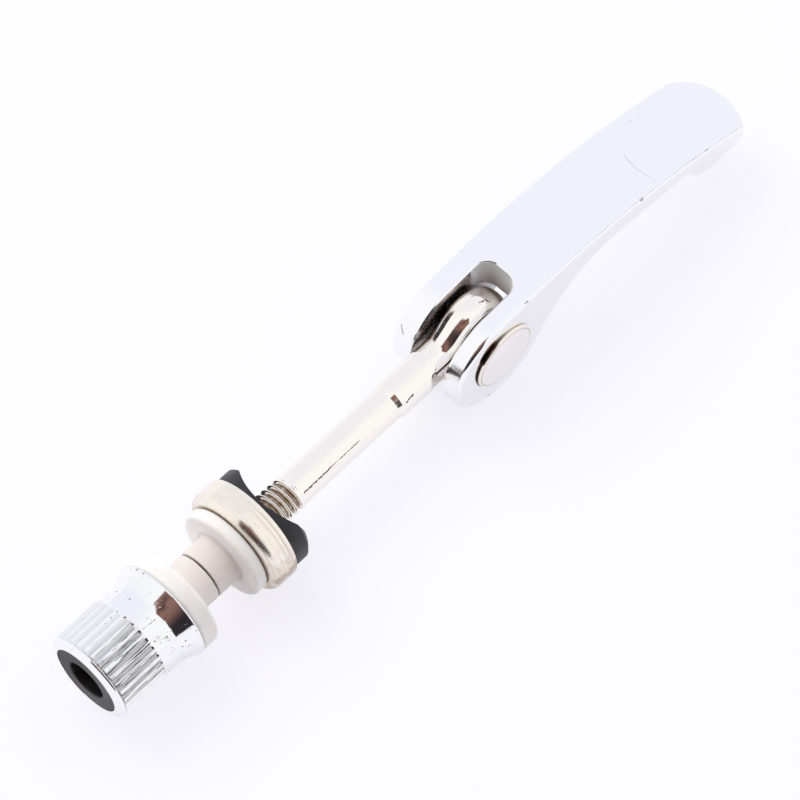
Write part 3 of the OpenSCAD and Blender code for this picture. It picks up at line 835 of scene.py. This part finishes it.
def makePin():
    # both heads and the shaft are one profile of [radius, distance along the pin], turned about the pin
    g = Named(**pin)
    domeR = (g.head ** 2 + g.dome ** 2) / (2 * g.dome)
    reach = np.linspace(0, g.head - 0.45, 18)
    base = g.seat + g.edge
    crown = base + np.sqrt(domeR ** 2 - reach ** 2) - domeR + g.dome
    side = softProfile([(g.radius, 0, 0), (g.radius, g.seat, 0.05), (g.head, g.seat, g.under),
                        (g.head, base, g.round), (reach[-1], crown[-1], 0.0)], 5, closed=False)
    side = np.concatenate([side, np.stack([reach, crown], 1)[::-1][1:]])
    whole = np.concatenate([side[::-1] * [1, -1], side[1:]])
    mesh = meshOf("pivotPin", aroundPin(whole[:, :1], whole[:, 1:], circle(144)))
    finishPiece(mesh, "lever", "pivot_pin", pinMetal, 40)


# pieces threaded on the rod

stack = {"cupAt": 61.1, "cupLen": 6.0, "cupR": 11.85, "cupWall": 0.6, "cupFloor": 0.9, "cupCorner": 2.0,
         "hole": 4.45, "innerFace": 67.15, "innerSeat": 70.15, "innerEnd": 75.55, "outerEnd": 76.0,
         "outerSeat": 81.4, "outerFace": 85.5, "stem": 5.4, "innerFlange": 9.95, "outerFlange": 10.9,
         "flangeEdge": 0.8}
s = Named(**stack)


def makeCup():
    base = s.cupAt + s.cupLen
    inner, hollow = s.cupR - s.cupWall, base - s.cupFloor
    profile = softProfile([
        (s.hole, base, 0.15), (s.cupR, base, s.cupCorner), (s.cupR, s.cupAt, 0.16), (inner, s.cupAt, 0.16),
        (inner, hollow, 1.2), (s.hole, hollow, 0.1)], 10)
    finishPiece(meshOf("cupWasher", turned(profile), True), "cup", "cup_washer", cupMetal, 50)


def makeBush(name, face, seat, tip, flange):
    profile = softProfile([
        (s.hole, face, 0.15), (flange, face, s.flangeEdge), (flange, seat, s.flangeEdge),
        (s.stem, seat, 0.25), (s.stem, tip, 0.2), (s.hole, tip, 0.1)], 7)
    node = name + "_bush"
    finishPiece(meshOf(name + "Bush", turned(profile), True), node, node, nylon, 60)


saddle = {"radius": 11.15, "base": 66.15, "foot": 1.45, "groove": 60.2, "grooveR": 12.5, "horn": 56.5,
          "hornEdge": 0.9, "hole": 4.45, "turn": 6.0, "soft": 0.25}


def makeSaddle():
    # a turned disc whose top is the higher of the flat horn tops, the groove's cylinder and the cone
    # round the edge, each crease rounded; the last rows go down through the hole
    g = Named(**saddle)
    angle = circle(240)
    reach = np.concatenate([np.linspace(g.radius, g.radius - 1.2, 14),
                            np.linspace(g.radius - 1.3, g.hole, 44)])[:, None]
    across = reach * np.sin(angle - math.radians(g.turn))
    groove = g.groove - g.grooveR + np.sqrt(g.grooveR ** 2 - across ** 2)
    cone = g.horn + g.hornEdge + (reach - g.radius)
    top = softMax(groove, np.maximum(g.horn, cone), g.soft)
    lower = np.array([[g.hole, g.base], [g.radius - g.foot, g.base],
                      [g.radius - g.foot * 0.35, g.base - g.foot * 0.5], [g.radius, g.base - g.foot]])
    lower = np.repeat(lower[:, None, :], len(angle), 1)
    upper = np.stack([np.repeat(reach, len(angle), 1), top], -1)
    wall = upper[:1] * [1, 0] + (lower[-1:] * 0.02 + upper[:1] * 0.98) * [0, 1]
    rows = np.concatenate([lower, wall, upper])
    mesh = meshOf("camSaddle", aroundRod(-rows[..., 1], rows[..., 0], angle), True)
    finishPiece(mesh, "saddle", "cam_saddle", saddleBlack, 38)


def nutProfile(g, gripAt, gripEnd, end):
    # the face and its bore, the hollow flare, the run-out and length of the grip, then the lip and the pocket
    t = np.linspace(0, 1, 22)
    flare = np.stack([g.neck + (g.flare - g.neck) * (1 - t) ** 1.3, g.face + 0.3 + (g.flareLen - 0.3) * t], 1)
    face = softProfile([(g.bore, g.face + 3, 0), (g.bore, g.face, 0.2), (g.flare, g.face, 0.28),
                        (g.flare, g.face + 0.4, 0)], closed=False)[:-1]
    runOut = np.linspace(gripAt - 1.0, gripAt + 1.2, 14)
    rise = g.neck + (g.grip - g.neck) * smoothStep((runOut - gripAt + 0.35) / 0.4)
    long = np.linspace(gripAt + 1.5, gripEnd - 0.45, 8)
    body = np.stack([np.concatenate([[g.neck, g.neck], rise, np.full(8, g.grip)]),
                     np.concatenate([[gripAt - 1.4, gripAt - 1.1], runOut, long])], 1)
    floor = g.grip - g.fluteDepth - 0.05
    lip = softProfile([
        (g.grip, gripEnd - 0.42, 0), (g.grip, gripEnd - 0.3, 0.05), (floor, gripEnd - 0.2, 0.05),
        (floor, gripEnd, 0.05), (g.grip, gripEnd + 0.1, 0.12), (g.grip - 0.2, end - 0.6, 0.3),
        (g.mouthR, end, 0.12), (g.pocketR, end, 0.08), (g.pocketR, end - g.pocket, 0.1),
        (g.bore, end - g.pocket, 0.1)], 4, closed=False)
    return np.concatenate([face, flare, body, lip])


def makeNut():
    # the turned profile, with a round groove of fluteR cut into it at every flute. The groove's depth
    # fades over the last millimetre towards the neck, and its edges are rounded by a soft minimum
    g = Named(**nut)
    end = g.face + g.len
    gripEnd = end - g.lip
    gripAt = gripEnd - g.gripLen
    profile = nutProfile(g, gripAt, gripEnd, end)
    middle = g.grip - g.fluteDepth + g.fluteR
    widest = 1.04 * math.acos((middle ** 2 + g.grip ** 2 - g.fluteR ** 2) / (2 * middle * g.grip))
    period = tau / g.flutes
    local = np.concatenate([np.linspace(-widest, widest, 13), np.linspace(widest, period - widest, 4)[1:-1]])
    angle = (np.arange(g.flutes)[:, None] * period + local[None, :]).ravel()
    fromMiddle = np.abs((angle + period / 2) % period - period / 2)
    radius, d = profile[:, :1], profile[:, 1:]
    cutter = g.fluteR - g.fluteDepth * 1.25 * (1 - smoothStep((d - gripAt + 0.9) / 1.3))
    inside = np.maximum(cutter ** 2 - (middle * np.sin(fromMiddle)) ** 2, 0)
    flute = np.where(inside > 0, middle * np.cos(fromMiddle) - np.sqrt(inside), g.grip + 1)
    onGrip = (d > gripAt - 1.05) & (d < gripEnd - 0.05) & (radius > g.neck - 0.5)
    radius = np.where(onGrip, softMin(radius * np.ones_like(flute), flute, g.crestSoft), radius)
    finishPiece(meshOf("nutShell", aroundRod(-d, radius, angle), True), "nut", "nut_shell", chrome, 34)


def makeInsert():
    g = Named(**nut)
    end = g.face + g.len - g.insertDeep
    back, radius = g.face + g.len - g.pocket + 0.05, g.pocketR - 0.02
    profile = softProfile([(g.insertBore, back, 0.1), (radius, back, 0.1), (radius, end, 0.25),
                           (g.insertBore, end, 0.3)], 5)
    finishPiece(meshOf("nutInsert", turned(profile), True), "nut", "nut_insert", insertBlack, 50)


makeBolt()
makeLever()
makePin()
makeSaddle()
makeCup()
makeBush("inner", s.innerFace, s.innerSeat, s.innerEnd, s.innerFlange)
makeBush("outer", s.outerFace, s.outerSeat, s.outerEnd, s.outerFlange)
makeNut()
makeInsert()
print("pieces made")


# floor, light and camera

studio = {"floor": (0.945, 0.938, 0.985, 1), "floorLift": 0.77, "glossLift": 0.62, "floorHalf": 3000.0,
          "floorGlow": (0.988, 0.982, 1.04, 1), "dome": (1.0, 0.998, 1.0, 1), "domeStrength": 1.0,
          "cool": (0.91, 0.91, 0.975, 1), "dark": (0.03, 0.025, 0.03, 1), "brown": (0.26, 0.14, 0.115, 1),
          "lampPower": 4.0, "lampSize": 0.7, "lampColour": (1.0, 0.985, 0.85), "lampPlace": (-0.05, 0.62, 0.85)}


def makeFloor():
    # the floor is lifted towards white for the camera and for reflections, and keeps the row's shadow
    size = studio["floorHalf"]
    corners = [[[x, y, -pivotPlace[2]] for y in (-size, size)] for x in (-size, size)]
    floor = objectOf(meshOf("studioFloor", np.array(corners), wrapCols=False))
    if floor.data.polygons[0].normal.z < 0:
        floor.data.flip_normals()
    material = bpy.data.materials.new("paleFloor")
    material.use_nodes = True
    n = NodeTree(material.node_tree)
    n.tree.nodes.clear()
    diffuse = n.add("ShaderNodeBsdfDiffuse", studio["floor"])
    glow = n.add("ShaderNodeEmission", studio["floorGlow"])
    path = n.add("ShaderNodeLightPath").outputs
    lift = n.highest(n.math("MULTIPLY", path["Is Camera Ray"], studio["floorLift"]),
                     n.math("MULTIPLY", path["Is Glossy Ray"], studio["glossLift"]))
    mix = n.add("ShaderNodeMixShader", lift, diffuse.outputs[0], glow.outputs[0])
    n.add("ShaderNodeOutputMaterial", mix.outputs[0])
    floor.data.materials.append(material)


# degrees up from the floor and round from the opening's middle, which is 151 degrees to the right of the
# lever's tip; its right side leans in, from 56 degrees at the floor to 45 above
opening = {"middle": -151, "left": (-40.0, -34.0), "low": (-1.0, 2.0), "top": (69.0, 75.0), "wobble": 3.5,
           "lean": (30.0, 48.0, 52.0, 45.0), "foot": (10.0, 25.0, 4.0, 0.0), "soft": 3.0}


def makeWorld():
    # a white tent, cooler on the far side, with the dark opening that the photographer stands in
    o = Named(**opening)
    world = bpy.data.worlds.new("tent")
    bpy.context.scene.world = world
    world.use_nodes = True
    n = NodeTree(world.node_tree)
    n.tree.nodes.clear()
    toSky = n.add("ShaderNodeTexCoord").outputs["Generated"]
    x, y, z = n.split("XYZ", toSky)
    degrees = 180 / math.pi
    up = n.math("ARCSINE", z) * degrees
    cosine, sine = math.cos(math.radians(o.middle)), math.sin(math.radians(o.middle))
    around = n.math("ARCTAN2", y * cosine - x * sine, x * cosine + y * sine) * degrees
    wobble = (n.noise(toSky, 4.0, 3.0, 0.6) - 0.5) * o.wobble
    shaky = around + wobble
    right = n.ramp(up, *o.lean) + n.ramp(up, *o.foot)
    inWidth = n.ramp(shaky, *o.left) * (1.0 - n.ramp(shaky, right - o.soft, right))
    inHeight = n.ramp(up, *o.low) * (1.0 - n.ramp(up + wobble, *o.top))
    cool = n.ramp(n.dot(toSky, (0.6, 0.6, 0.53)), 0.35, 0.9)
    sky = n.mixColour(cool, studio["dome"], studio["cool"])
    patches = n.ramp(up, 22.0, 52.0) * n.ramp(n.noise(toSky, 5.0), 0.2, 0.5)
    shade = n.mixColour(patches, studio["dark"], studio["brown"])
    seen = n.mixColour(n.add("ShaderNodeLightPath").outputs["Is Camera Ray"],
                       n.mixColour(inWidth * inHeight, sky, shade), studio["floorGlow"])
    background = n.add("ShaderNodeBackground", seen, studio["domeStrength"])
    n.add("ShaderNodeOutputWorld", background.outputs[0])


def makeLamp():
    # a large soft panel up behind the lever's far side throws the faint shadow towards the viewer's right
    lamp = bpy.data.lights.new("softPanel", "AREA")
    lamp.shape = "SQUARE"
    lamp.size = studio["lampSize"]
    lamp.energy = studio["lampPower"]
    lamp.color = studio["lampColour"]
    panel = objectOf(lamp)
    place = Vector(studio["lampPlace"])
    panel.location = place
    panel.rotation_mode = "QUATERNION"
    panel.rotation_quaternion = (-place).to_track_quat("-Z", "Y")
    panel.visible_glossy = False


# degrees, pixels of the 800-pixel photograph, and millimetres
view = {"azimuth": -46.79, "elevation": 60.749, "roll": 0.198, "focal": 3761.56, "right": 13.757, "up": 14.401,
        "distance": 745.575, "pixels": 800, "sensor": 36.0}


def makeCamera():
    a, e, r = (math.radians(view[k]) for k in ("azimuth", "elevation", "roll"))
    back = np.array([math.sin(a) * math.cos(e), -math.cos(a) * math.cos(e), math.sin(e)])
    level = np.array([math.cos(a), math.sin(a), 0])
    upright = np.cross(back, level)
    right = math.cos(r) * level + math.sin(r) * upright
    up = -math.sin(r) * level + math.cos(r) * upright
    place = -view["right"] * right - view["up"] * up + view["distance"] * back
    data = bpy.data.cameras.new("photoCamera")
    data.sensor_fit = "HORIZONTAL"
    data.sensor_width = view["sensor"]
    data.lens = view["focal"] / view["pixels"] * data.sensor_width
    data.clip_start, data.clip_end = 0.01, 20.0
    camera = objectOf(data)
    turn = Matrix(np.stack([right, up, back], 1).tolist())
    camera.matrix_world = Matrix.Translation((place + pivotPlace) / 1000) @ turn.to_4x4()
    bpy.context.scene.camera = camera


makeFloor()
makeWorld()
makeLamp()
makeCamera()
bpy.context.scene.view_settings.view_transform = "Standard"
print("studio made")
